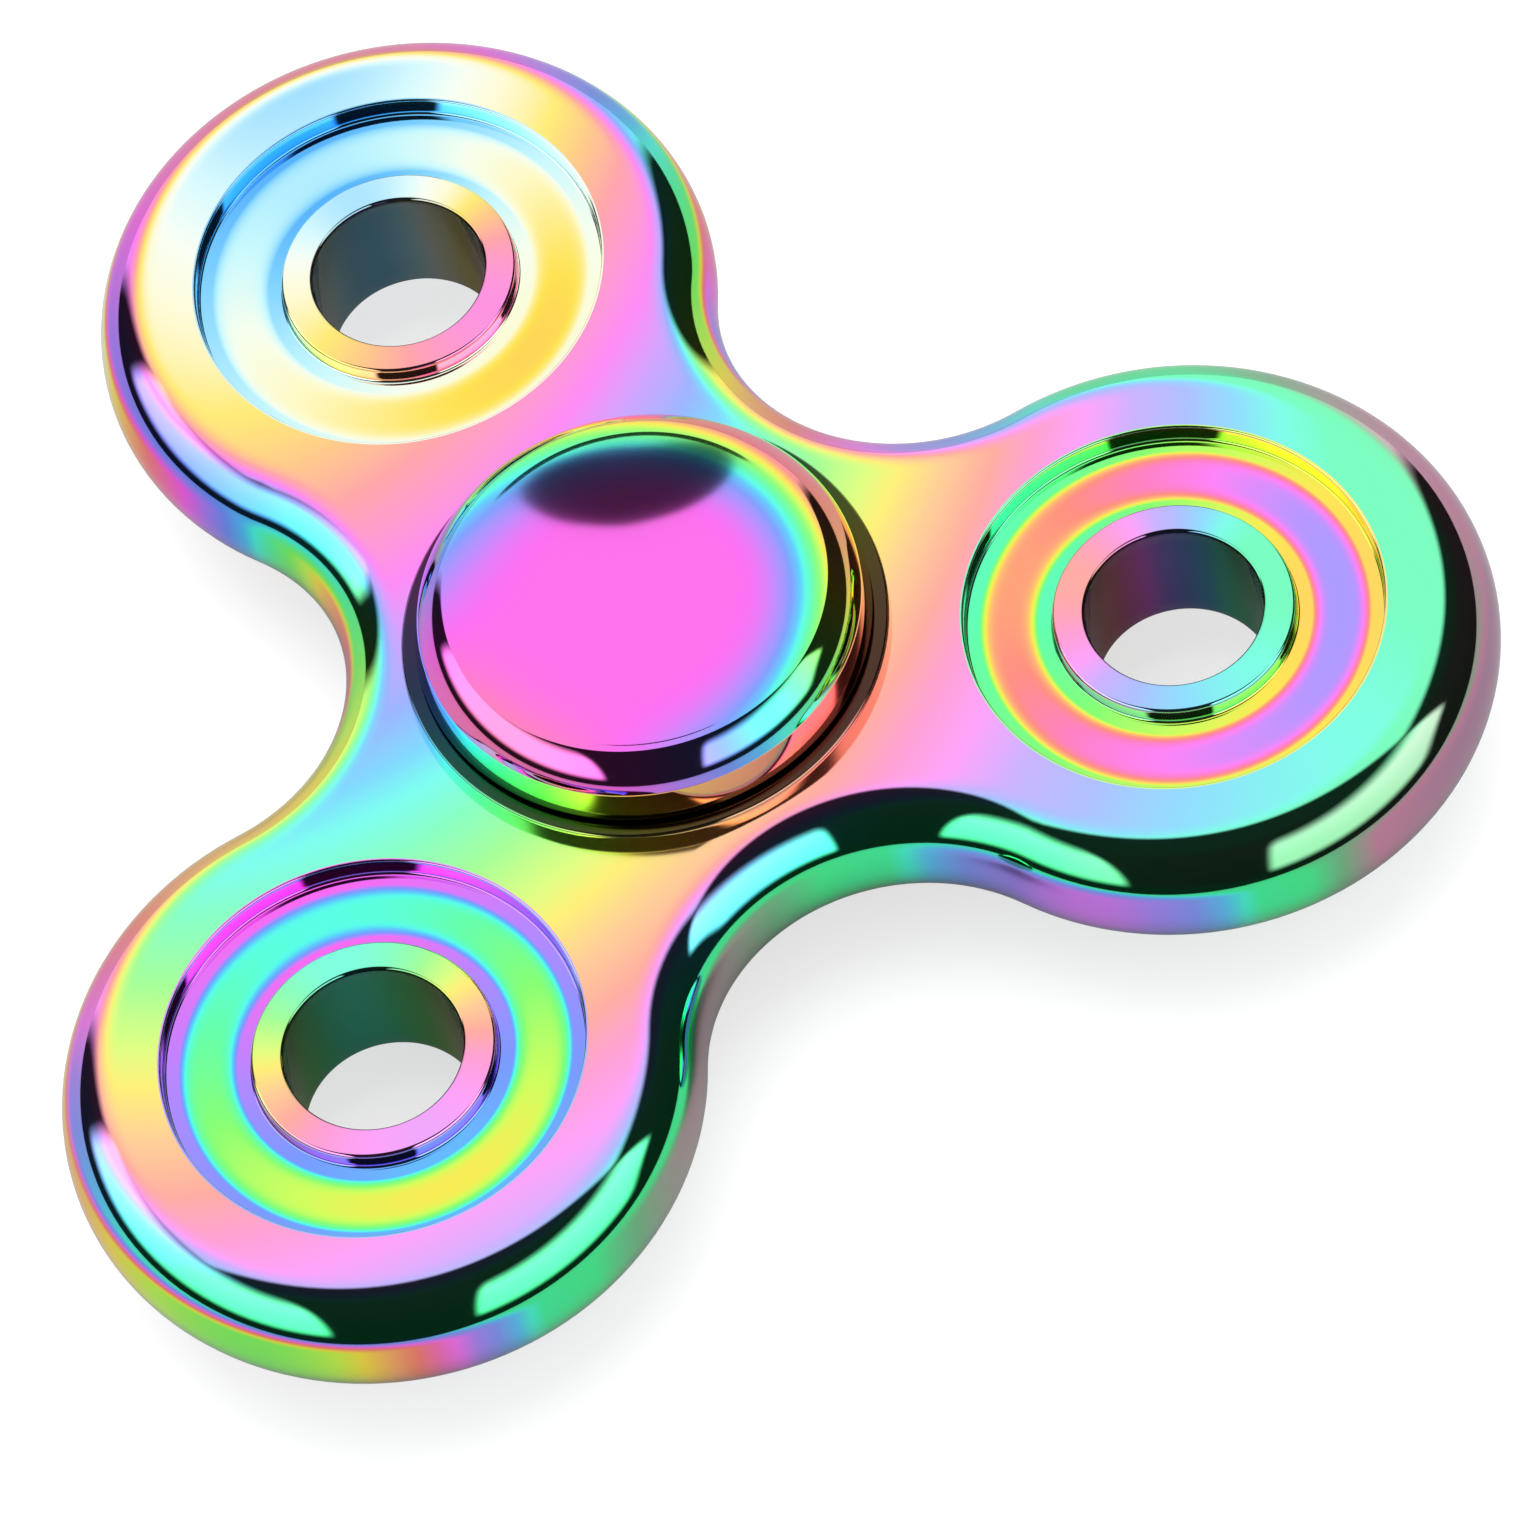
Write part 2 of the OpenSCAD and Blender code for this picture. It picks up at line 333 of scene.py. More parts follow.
def add_mesh(target: bmesh.types.BMesh, source: bmesh.types.BMesh) -> None:
    """Copy one mesh into another and free it.

    Args:
        target: Mesh that grows.
        source: Mesh to use up.
    """
    mesh = bpy.data.meshes.new("part")
    source.to_mesh(mesh)
    source.free()
    target.from_mesh(mesh)
    bpy.data.meshes.remove(mesh)


# ---- Finishes ---------------------------------------------------------------

# Colours of a thin clear film on bright metal, by its order of interference. The first order
# runs from blue through silvery white to yellow, the second and third through green as well.
FILM_SPAN = 3.0
FILM_COLOURS = [
    (0.00, "#3d78f5"), (0.05, "#52b0fb"), (0.10, "#a0e0ff"), (0.16, "#d8fbff"), (0.21, "#f9fff4"),
    (0.27, "#fffbd6"), (0.36, "#ffec78"), (0.44, "#ffc98c"), (0.52, "#ffa6ac"), (0.60, "#ff9ad6"),
    (0.67, "#ff8cf6"), (0.76, "#cfa6ff"), (0.86, "#9cb6ff"), (0.94, "#82d9ff"), (1.00, "#7efff0"),
    (1.08, "#8affc4"), (1.18, "#a6ff98"), (1.28, "#deff84"), (1.345, "#fff07a"), (1.43, "#ffcf98"),
    (1.52, "#ffaea2"), (1.60, "#ffa2d6"), (1.68, "#ffa4fb"), (1.77, "#ccb4ff"), (1.86, "#b0c0ff"),
    (1.95, "#92deff"), (2.02, "#80ffe8"), (2.08, "#7cfec4"), (2.30, "#80fdbc"), (2.45, "#a6d8b4"),
    (2.62, "#e2b2c8"), (3.00, "#cfb0c4"),
]


class Zone(Enum):
    """Which of the two coated shapes a rainbow finish covers."""

    BODY = "body"
    CAP = "cap"


@dataclass(frozen=True)
class RainbowCoating:
    """Mirror-polished zinc alloy under a clear vacuum-deposited film.

    The film's thickness drifts across the part as it hangs in the coating chamber, and it is
    thinner on the floor of a recess, which gives the rings of colour there.
    """

    zone: Zone
    lobe_distance: float = 26.0
    lobes: int = 3
    mean_order: float = 1.07  # interference order on the spin axis
    drift: tuple[float, float] = (0.15, -0.34)  # orders per cm along X and Y
    drift_change_x: tuple[float, float, float] = (-0.003, -0.012, 0.0)  # of the first, per cm2 of X and Y
    drift_change_y: tuple[float, float, float] = (0.014, 0.006, 0.0)  # of the second
    spread: float = 0.043  # orders per cm2 of distance from the YZ plane
    recess_radius: float = 10.5
    ring_radius: float = 6.05
    face_reach: float = 11.1  # radius at which a lobe's ring takes its order
    floor_reach: float = 6.1
    floor_middle: float = 8.2
    floor_half_width: float = 1.45
    floor_drop: float = 0.22
    floor_edge_drop: float = 0.42
    floor_share: tuple[float, float] = (0.62, 0.05)  # rise per order and start of a film's share of a drop
    edge_rise: float = 0.45  # orders gained as a flat face rolls over into its rounded edge
    edge_band: tuple[float, float] = (3.2, 3.88)  # heights between which that gain ends
    rim_band: tuple[float, float] = (1.5, 2.4)  # heights between which the outside's own film ends
    rim_order: float = 2.05
    rim_drift: tuple[float, float, float] = (0.0114, -0.0038, 0.0)  # orders per mm round the outside
    rim_swing: float = 0.55  # orders of slow swing round the outside
    rim_period: float = 44.0  # mm from one crest of that swing to the next
    rim_crest: float = -3.0  # mm to a crest, along the direction of the drift
    rim_thinning: float = 0.03  # orders lost per mm towards the first lobe
    satin_band: tuple[float, float] = (3.65, 3.88)  # heights between which the rounds turn to satin faces
    round_roughness: float = 0.045
    face_roughness: float = 0.11
    deep_band: tuple[float, float] = (2.4, 3.8)  # heights between which the colour pales
    deep_gamma: float = 1.6
    hole_painted_shade: float = 0.4  # painted shade: share of the colour left on the walls of a lobe's hole
    hole_shade_reach: float = 4.42
    land_painted_shade: float = 0.08  # painted shade: share of the colour left on the collar's land, close under the cap
    land_shade_reach: float = 11.95
    # width over which the painted shade fades out
    shade_fade_width: float = 0.15
    cap_roughness: float = 0.05
    cap_gamma: float = 1.35
    cap_order: float = 0.66  # in the middle of a cap's dish
    cap_span: tuple[float, float] = (3.9, 9.1)  # radii between which the cap's order starts to climb
    cap_power: float = 3.0
    cap_limit: float = 1.35
    cap_climb: float = 0.3
    cap_lean: float = 0.36  # how much more it climbs on the side it leans to, and less on the other
    cap_side: float = 20.0  # degrees from +X of that side
    crease_height: float = 6.75
    skirt_order: float = 1.1
    skirt_drift: tuple[float, float, float] = (0.015, -0.034, 0.0)  # orders per mm
    wave_density: float = 160.0  # waves per metre, left in the casting under the polish
    wave_detail: float = 1.0
    wave_strength: float = 0.25
    wave_height: float = 0.00004  # metres

    def material(self) -> bpy.types.Material:
        """Make the material.

        Returns:
            A metal whose colour follows the film's order over the surface.
        """
        made = empty_material(f"{self.zone.value}_zinc_alloy_mirror_polished_rainbow_coated")
        tree = made.node_tree
        place = add_node(tree, "ShaderNodeTexCoord").outputs["Object"]
        flat = vectors(tree, "MULTIPLY", place, (1 / MM, 1 / MM, 0))
        height = maths(tree, "MULTIPLY", maths(tree, "ABSOLUTE", part_of(tree, place, "Z")), 1 / MM)
        on_body = self.zone is Zone.BODY
        order = self._body_order(tree, flat, height) if on_body else self._cap_order(tree, flat, height)
        share = maths(tree, "DIVIDE", order, FILM_SPAN, clamp=True)
        ramp = add_node(tree, "ShaderNodeValToRGB", inputs={"Fac": share})
        fill_ramp(ramp.color_ramp, FILM_COLOURS, FILM_SPAN)
        # The body's flat faces are buffed to a satin sheen of their own, all else to a full mirror
        rough, gamma = self.cap_roughness, self.cap_gamma
        if on_body:
            rough = eased(tree, height, self.satin_band, (self.round_roughness, self.face_roughness))
            gamma = eased(tree, height, self.deep_band, (self.deep_gamma, 1.0))
        colour = add_node(
            tree, "ShaderNodeGamma", inputs={"Color": ramp.outputs["Color"], "Gamma": gamma}
        ).outputs[0]
        if on_body:
            # painted shade in the lobes' holes and on the collar's land under the cap
            colour = self._paint_shade(tree, flat, colour)
        wave = add_node(
            tree, "ShaderNodeTexNoise",
            inputs={"Scale": self.wave_density, "Detail": self.wave_detail, "Vector": place},
        ).outputs["Fac"]
        bump = add_node(
            tree, "ShaderNodeBump",
            inputs={"Strength": self.wave_strength, "Distance": self.wave_height, "Height": wave},
        ).outputs[0]
        shader = add_node(
            tree, "ShaderNodeBsdfPrincipled",
            inputs={"Metallic": 1.0, "Base Color": colour, "Roughness": rough, "Normal": bump},
        )
        add_node(tree, "ShaderNodeOutputMaterial", inputs={"Surface": shader.outputs[0]})
        return made

    def _lobe_middles(self) -> list[tuple[float, float, float]]:
        """List the lobes' middles.

        Returns:
            The place of each, in mm.
        """
        angles = [math.radians(90 + 360 * k / self.lobes) for k in range(self.lobes)]
        return [(self.lobe_distance * math.cos(a), self.lobe_distance * math.sin(a), 0) for a in angles]

    def _paint_shade(
        self, tree: bpy.types.NodeTree, flat: bpy.types.NodeSocket, colour: bpy.types.NodeSocket
    ) -> bpy.types.NodeSocket:
        """Paint shade onto the walls of the lobes' holes and onto the collar's land under the cap, by
        darkening the colour.

        Args:
            tree: Node tree that gets the nodes.
            flat: Place over the face, in mm.
            colour: Colour of the coating.

        Returns:
            The socket that carries the darkened colour.
        """
        # painted shade: within each reach the colour is darkened to its share, fading out over the fade width
        shaded_spots = [(middle, self.hole_shade_reach, self.hole_painted_shade) for middle in self._lobe_middles()]
        shaded_spots.append(((0, 0, 0), self.land_shade_reach, self.land_painted_shade))
        for middle, reach, shade_share in shaded_spots:
            radius = vectors(tree, "DISTANCE", flat, middle)
            tone = eased(tree, radius, (reach, reach + self.shade_fade_width), (shade_share, 1.0), smooth=False)
            colour = vectors(tree, "SCALE", colour, tone)
        return colour

    def _body_order(
        self, tree: bpy.types.NodeTree, flat: bpy.types.NodeSocket, height: bpy.types.NodeSocket
    ) -> bpy.types.NodeSocket:
        """Build the film's order over the body.

        Args:
            tree: Node tree that gets the nodes.
            flat: Place over the face, in mm.
            height: Distance from the body's middle plane, in mm.

        Returns:
            The socket that carries the order.
        """
        moved, dropped, enclosed = flat, 0.0, 0.0
        for middle in self._lobe_middles():
            away = vectors(tree, "SUBTRACT", flat, middle)
            radius = vectors(tree, "LENGTH", away)
            inside = maths(tree, "LESS_THAN", radius, self.recess_radius)
            ring = maths(tree, "LESS_THAN", radius, self.ring_radius)
            # Within a recess the order is that of one circle, so that it changes only round the lobe
            reach = maths(tree, "MULTIPLY_ADD", ring, self.face_reach - self.floor_reach, self.floor_reach)
            pushed = vectors(tree, "SCALE", vectors(tree, "NORMALIZE", away), reach)
            shift = vectors(tree, "SCALE", vectors(tree, "SUBTRACT", pushed, away), inside)
            moved = vectors(tree, "ADD", moved, shift)
            enclosed = maths(tree, "ADD", enclosed, inside)
            # Thinner film over the recess floor, thinnest beside its two walls
            slope = 1 / self.floor_half_width
            off = maths(tree, "MULTIPLY_ADD", radius, slope, -self.floor_middle * slope)
            square = maths(tree, "MULTIPLY", off, off)
            beside = maths(tree, "MINIMUM", maths(tree, "MULTIPLY", square, square), 1.0)
            drop = maths(tree, "MULTIPLY_ADD", beside, self.floor_edge_drop, self.floor_drop)
            on_floor = maths(tree, "SUBTRACT", inside, ring)
            dropped = maths(tree, "MULTIPLY_ADD", drop, on_floor, dropped)
        moved = vectors(tree, "MULTIPLY", moved, (CM_PER_MM, CM_PER_MM, 0))
        squares = vectors(tree, "MULTIPLY", moved, moved)
        order = maths(tree, "MULTIPLY_ADD", part_of(tree, squares, "X"), self.spread, self.mean_order)
        for axis, drift, change in zip("XY", self.drift, (self.drift_change_x, self.drift_change_y)):
            slope = maths(tree, "ADD", vectors(tree, "DOT_PRODUCT", squares, change), drift)
            order = maths(tree, "MULTIPLY_ADD", slope, part_of(tree, moved, axis), order)
        # A thin first-order film has less to lose
        share = maths(tree, "MULTIPLY_ADD", order, *self.floor_share, clamp=True)
        order = maths(tree, "SUBTRACT", order, maths(tree, "MULTIPLY", dropped, share))
        rise = eased(tree, height, self.edge_band, (self.edge_rise, 0.0))
        outside = maths(tree, "SUBTRACT", 1.0, enclosed, clamp=True)
        order = maths(tree, "MULTIPLY_ADD", rise, outside, order)
        share = maths(tree, "MAXIMUM", eased(tree, height, self.rim_band), enclosed)
        return mixed(tree, share, self._rim_order(tree, flat), order)

    def _rim_order(self, tree: bpy.types.NodeTree, flat: bpy.types.NodeSocket) -> bpy.types.NodeSocket:
        """Build the film's order round the outside of the body.

        Args:
            tree: Node tree that gets the nodes.
            flat: Place over the face, in mm.

        Returns:
            The socket that carries the order.
        """
        drift = vectors(tree, "DOT_PRODUCT", flat, self.rim_drift)
        run = vectors(tree, "DOT_PRODUCT", flat, Vector(self.rim_drift).normalized())
        pace = 2 * math.pi / self.rim_period
        swing = maths(tree, "COSINE", maths(tree, "MULTIPLY_ADD", run, pace, -pace * self.rim_crest))
        order = maths(tree, "MULTIPLY_ADD", swing, self.rim_swing, drift)
        ahead = maths(tree, "MAXIMUM", part_of(tree, flat, "Y"), 0.0)
        order = maths(tree, "MULTIPLY_ADD", ahead, -self.rim_thinning, order)
        return maths(tree, "ADD", order, self.rim_order)

    def _cap_order(
        self, tree: bpy.types.NodeTree, flat: bpy.types.NodeSocket, height: bpy.types.NodeSocket
    ) -> bpy.types.NodeSocket:
        """Build the film's order over a finger cap.

        Args:
            tree: Node tree that gets the nodes.
            flat: Place over the face, in mm.
            height: Distance from the body's middle plane, in mm.

        Returns:
            The socket that carries the order.
        """
        inner, outer = self.cap_span
        slope = 1 / (outer - inner)
        rise = maths(tree, "MULTIPLY_ADD", vectors(tree, "LENGTH", flat), slope, -inner * slope)
        rise = maths(tree, "POWER", maths(tree, "MAXIMUM", rise, 0.0), self.cap_power)
        rise = maths(tree, "MINIMUM", rise, self.cap_limit)
        side = math.radians(self.cap_side)
        facing = vectors(
            tree, "DOT_PRODUCT", vectors(tree, "NORMALIZE", flat), (math.cos(side), math.sin(side), 0)
        )
        share = maths(tree, "MULTIPLY_ADD", facing, self.cap_lean, self.cap_climb)
        dish = maths(tree, "MULTIPLY_ADD", rise, share, self.cap_order)
        skirt = maths(tree, "ADD", vectors(tree, "DOT_PRODUCT", flat, self.skirt_drift), self.skirt_order)
        above = maths(tree, "GREATER_THAN", height, self.crease_height)
        return mixed(tree, above, skirt, dish)


@dataclass(frozen=True)
class PlainSteel:
    """Bare or blackened steel with the fine marks of its making."""

    name: str
    light: str
    dark: str
    roughness: float
    grain: float  # mm between marks
    turned: bool = False  # marks run round the spin axis, as a lathe or grinder leaves them
    detail: float = 3.0
    contrast: tuple[float, float] = (0.3, 0.7)  # shares of the marks that are fully dark and fully light
    unevenness: float = 0.2  # share by which the roughness swings
    mark_strength: float = 0.2
    mark_height: float = 0.00001  # metres

    def material(self) -> bpy.types.Material:
        """Make the material.

        Returns:
            A metal with fine marks in its colour, roughness and surface.
        """
        made = empty_material(self.name)
        tree = made.node_tree
        place = add_node(tree, "ShaderNodeTexCoord").outputs["Object"]
        if self.turned:
            radius = vectors(tree, "LENGTH", vectors(tree, "MULTIPLY", place, (1, 1, 0)))
            height = part_of(tree, place, "Z")
            place = add_node(tree, "ShaderNodeCombineXYZ", inputs={"X": radius, "Z": height}).outputs[0]
        marks = add_node(
            tree, "ShaderNodeTexNoise",
            inputs={"Scale": 1 / (self.grain * MM), "Detail": self.detail, "Vector": place},
        ).outputs["Fac"]
        ramp = add_node(tree, "ShaderNodeValToRGB", inputs={"Fac": marks})
        fill_ramp(ramp.color_ramp, [(self.contrast[0], self.dark), (self.contrast[1], self.light)])
        ends = (self.roughness * (1 - self.unevenness), self.roughness * (1 + self.unevenness))
        bump = add_node(
            tree, "ShaderNodeBump",
            inputs={"Strength": self.mark_strength, "Distance": self.mark_height, "Height": marks},
        ).outputs[0]
        shader = add_node(
            tree, "ShaderNodeBsdfPrincipled",
            inputs={
                "Metallic": 1.0,
                "Base Color": ramp.outputs["Color"],
                "Roughness": eased(tree, marks, (0.0, 1.0), ends, smooth=False),
                "Normal": bump,
            },
        )
        add_node(tree, "ShaderNodeOutputMaterial", inputs={"Surface": shader.outputs[0]})
        return made


# ---- The spinner's pieces ---------------------------------------------------


@dataclass
class SpinnerBody:
    """The three-lobed casting with its fully rounded edge, lobe recesses and bearing collar."""

    lobes: int = 3
    lobe_distance: float = 26.0
    lobe_radius: float = 15.8
    waist_reach: float = 15.5
    half_thickness: float = 3.9
    recess_radius: float = 10.35
    recess_depth: float = 1.1
    ring_radius: float = 6.0
    ring_drop: float = 0.2
    hole_radius: float = 4.4
    collar_radius: float = 12.1
    collar_height: float = 0.85
    seat_radius: float = 11.01
    hub_cut_radius: float = 11.2  # hidden inside the collar's wall
    support: float = 0.12  # flat strip beside each curved edge, which keeps the flat faces flat
    seam: float = 0.002  # how far apart two arcs' ends may lie and still be one
    mouth: float = 0.18  # from a recess's wall to the edge of its rounded mouth
    mouth_round: float = 0.14
    floor_round: float = 0.2
    ring_round: float = 0.22
    hole_round: float = 0.2
    hole_lip: float = 0.4  # straight wall above the first ring of points in a hole
    seat_round: float = 0.12
    collar_round: float = 0.22
    collar_lip: float = 0.3
    rim_steps: int = 40
    lobe_steps: int = 96
    waist_steps: int = 48
    round_steps: int = 128

    def build(self, material: bpy.types.Material) -> bpy.types.Object:
        """Build and dress the body.

        Args:
            material: Its finish.

        Returns:
            The finished object.
        """
        bm = bmesh.new()
        self._rim(bm)
        for k in range(self.lobes):
            angle = math.radians(90 + 360 * k / self.lobes)
            at = (self.lobe_distance * math.cos(angle), self.lobe_distance * math.sin(angle))
            add_mesh(bm, self._lobe_opening(at))
        half = self.half_thickness
        hub_cut = Profile((self.hub_cut_radius, half)).to(self.hub_cut_radius, -half)
        add_mesh(bm, hub_cut.turn(self.round_steps))
        for side in (half, -half):
            rims = [e for e in bm.edges if e.is_boundary]
            open_edges = [e for e in rims if all(abs(v.co.z - side) < WELD for v in e.verts)]
            bmesh.ops.triangle_fill(bm, use_beauty=True, use_dissolve=False, edges=open_edges)
        add_mesh(bm, self._collar())
        piece = finished(bm, "spinner_body", material)
        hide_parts("body")
        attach(piece, "rotor")
        return piece

    def _rim(self, bm: bmesh.types.BMesh) -> None:
        """Sweep the half-round edge along the waists and lobes.

        Args:
            bm: Mesh that gets the swept edge.
        """
        turn = math.pi / self.lobes
        half = self.half_thickness
        top, reach = self.lobe_radius, self.waist_reach
        waist_radius = (
            self.lobe_distance**2 + reach**2 - top**2 - 2 * self.lobe_distance * reach * math.cos(turn)
        ) / (2 * top - 2 * reach + 2 * self.lobe_distance * math.cos(turn))
        waist_distance = reach + waist_radius
        waist_half = math.asin(self.lobe_distance * math.sin(turn) / (top + waist_radius))
        lobe_arc = 2 * (turn + waist_half)
        # The section starts at the waist that lies on +X, from its upper to its lower face
        start = bm.verts.new((reach - half, 0, half))
        made = bmesh.ops.spin(
            bm, geom=[start], cent=(reach - half, 0, 0), axis=(0, 1, 0), angle=math.pi,
            steps=self.rim_steps, use_merge=False,
        )
        last = [g for g in made["geom_last"] if isinstance(g, bmesh.types.BMVert)]
        for vert in (start, last[0]):
            inner = bmesh.ops.extrude_vert_indiv(bm, verts=[vert])["verts"]
            bmesh.ops.translate(bm, vec=(-self.support, 0, 0), verts=inner)
        section = list(bm.verts) + list(bm.edges)
        for k in range(self.lobes):
            here = 2 * turn * k
            steps = (
                (waist_distance, here, -waist_half, self.waist_steps // 2),
                (self.lobe_distance, here + turn, lobe_arc, self.lobe_steps),
                (waist_distance, here + 2 * turn, -waist_half, self.waist_steps // 2),
            )
            for distance, angle, sweep, count in steps:
                made = bmesh.ops.spin(
                    bm, geom=section, cent=(distance * math.cos(angle), distance * math.sin(angle), 0),
                    axis=UP, angle=sweep, steps=count, use_merge=False,
                )
                section = made["geom_last"]
        bmesh.ops.remove_doubles(bm, verts=bm.verts, dist=self.seam)
        bmesh.ops.rotate(bm, cent=(0, 0, 0), matrix=Matrix.Rotation(turn / 2, 3, "Z"), verts=bm.verts)

    def _lobe_opening(self, at: tuple[float, float]) -> bmesh.types.BMesh:
        """Turn the recess, ring and hole of one lobe.

        Args:
            at: Middle of the lobe.

        Returns:
            The turned surfaces, open at the two faces.
        """
        half, floor = self.half_thickness, self.half_thickness - self.recess_depth
        ring = half - self.ring_drop
        mouth, lip = self.recess_radius + self.mouth, ring - self.hole_lip
        section = Profile((mouth + self.support, half)).to(mouth, half)
        section.to(self.recess_radius, half, self.mouth_round)
        section.to(self.recess_radius, floor, self.floor_round)
        section.to(self.ring_radius, floor, self.floor_round).to(self.ring_radius, ring, self.ring_round)
        section.to(self.hole_radius, ring, self.hole_round).to(self.hole_radius, lip)
        section.to(self.hole_radius, 0).to(self.hole_radius, -lip)
        section.to(self.hole_radius, -ring, self.hole_round)
        section.to(self.ring_radius, -ring, self.ring_round).to(self.ring_radius, -floor, self.floor_round)
        section.to(self.recess_radius, -floor, self.floor_round)
        section.to(self.recess_radius, -half, self.mouth_round)
        section.to(mouth, -half).to(mouth + self.support, -half)
        return section.turn(self.round_steps, at=at)

    def _collar(self) -> bmesh.types.BMesh:
        """Turn the collar round the bearing seat.

        Returns:
            A closed tube through the body.
        """
        top = self.half_thickness + self.collar_height
        lip = top - self.collar_lip
        section = Profile((self.seat_radius, 0)).to(self.seat_radius, top, self.seat_round)
        section.to(self.collar_radius, top, self.collar_round)
        section.to(self.collar_radius, lip).to(self.collar_radius, -lip)
        section.to(self.collar_radius, -top, self.collar_round)
        section.to(self.seat_radius, -top, self.seat_round).close()
        return section.turn(self.round_steps)


@dataclass
class FingerCap:
    """A dished cap on its stem, above or below the body."""

    upper: bool = True
    underside: float = 5.05
    outer_radius: float = 11.35
    crease_radius: float = 11.0
    crease_height: float = 6.75
    crease_step: float = 0.05
    rim_radius: float = 9.45
    rim_height: float = 8.5
    shoulder_radius: float = 3.3
    dish_radius: float = 9.05
    dish_depth: float = 1.0
    boss_radius: float = 5.7
    boss_height: float = 3.5
    stem_radius: float = 3.99
    stem_end: float = 0.3
    bore_radius: float = 2.02
    bore_end: float = 6.1
    stem_round: float = 0.15
    edge_round: float = 0.12
    rim_round: float = 0.24
    shoulder_steps: int = 24
    dish_steps: int = 48
    steps: int = 160

    def build(self, material: bpy.types.Material) -> bpy.types.Object:
        """Build and dress the cap.

        Args:
            material: Its finish.

        Returns:
            The finished object.
        """
        name = "cap_upper" if self.upper else "cap_lower"
        foot = self.crease_radius - self.crease_step
        shoulder = Vector((foot - self.rim_radius, self.rim_height - self.crease_height))
        sag = math.sqrt(self.shoulder_radius**2 - (shoulder.length / 2) ** 2)
        middle = Vector((self.rim_radius + shoulder.x / 2, self.rim_height - shoulder.y / 2))
        centre = middle - sag * Vector((shoulder.y, shoulder.x)).normalized()
        sweep = 2 * math.degrees(math.asin(shoulder.length / 2 / self.shoulder_radius))
        sphere = (self.dish_radius**2 + self.dish_depth**2) / (2 * self.dish_depth)
        dish_angle = math.degrees(math.asin(self.dish_radius / sphere))
        section = Profile((0, self.bore_end)).to(self.bore_radius, self.bore_end)
        section.to(self.bore_radius, self.stem_end).to(self.stem_radius, self.stem_end, self.stem_round)
        section.to(self.stem_radius, self.boss_height).to(self.boss_radius, self.boss_height)
        section.to(self.boss_radius, self.underside)
        section.to(self.outer_radius, self.underside, self.edge_round)
        section.to(self.crease_radius, self.crease_height).to(foot, self.crease_height)
        section.arc((centre.x, centre.y), -sweep, self.shoulder_steps)
        section.rounded.append((section.last, self.edge_round))
        section.to(self.dish_radius, self.rim_height, self.rim_round)
        section.arc((0, self.rim_height - self.dish_depth + sphere), dish_angle, self.dish_steps)
        bm = section.turn(self.steps)
        if not self.upper:
            bmesh.ops.scale(bm, vec=(1, 1, -1), verts=bm.verts)
        piece = finished(bm, f"finger_{name}", material)
        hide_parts(name)
        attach(piece, "hub")
        return piece


@dataclass
class BearingParts:
    """The bearing, its shields and the stud, whose shapes are kept as they were built."""

    finishes: dict[str, PlainSteel] = field(
        default_factory=lambda: {
            # Hard chromium steel, ground and honed: fine bright lines round the axis
            "bearing_": PlainSteel("bearing_steel_ground", "#d9dce0", "#b4b8be", 0.16, 0.2, True),
            # Lapped balls: the closest to a plain mirror
            "ball_": PlainSteel("bearing_steel_lapped", "#eceef0", "#d2d5da", 0.06, 0.5),
            # Soft strip steel, pressed to shape: dull, with a faint mottle
            "cage_": PlainSteel("strip_steel_pressed", "#c6c3bb", "#9d9a92", 0.34, 0.4),
            # Stamped and tumbled sheet: satin
            "shield_": PlainSteel("sheet_steel_stamped", "#c9cdd2", "#a3a8ae", 0.26, 0.3, True),
            # Drawn spring wire, tempered dark
            "snap_ring_": PlainSteel("spring_wire_tempered", "#7c7f86", "#55585e", 0.3, 0.3),
            # Machined set screw with a black oxide skin
            "cap_stud": PlainSteel("alloy_steel_black_oxide", "#4a4a4d", "#2f2f32", 0.42, 0.3, True),
        }
    )

    def dress(self, nodes: dict[str, bpy.types.Object]) -> None:
        """Give every kept part its steel.

        Args:
            nodes: The frame's parts by name.
        """
        made = {prefix: steel.material() for prefix, steel in self.finishes.items()}
        for name, part in nodes.items():
            for prefix, material in made.items():
                if name.startswith(prefix):
                    part.data.materials.clear()
                    part.data.materials.append(material)
                    LOG.info("%s: kept, in %s", name, material.name)


# ---- Studio -----------------------------------------------------------------


@dataclass(frozen=True)
class Panel:
    """A lit panel of the tent, as a box in direction space.

    Each bound is the low end, the high end and how softly both fade.
    """

    ahead: tuple[float, float, float]
    aside: tuple[float, float, float]
    above: tuple[float, float, float]
    strength: float


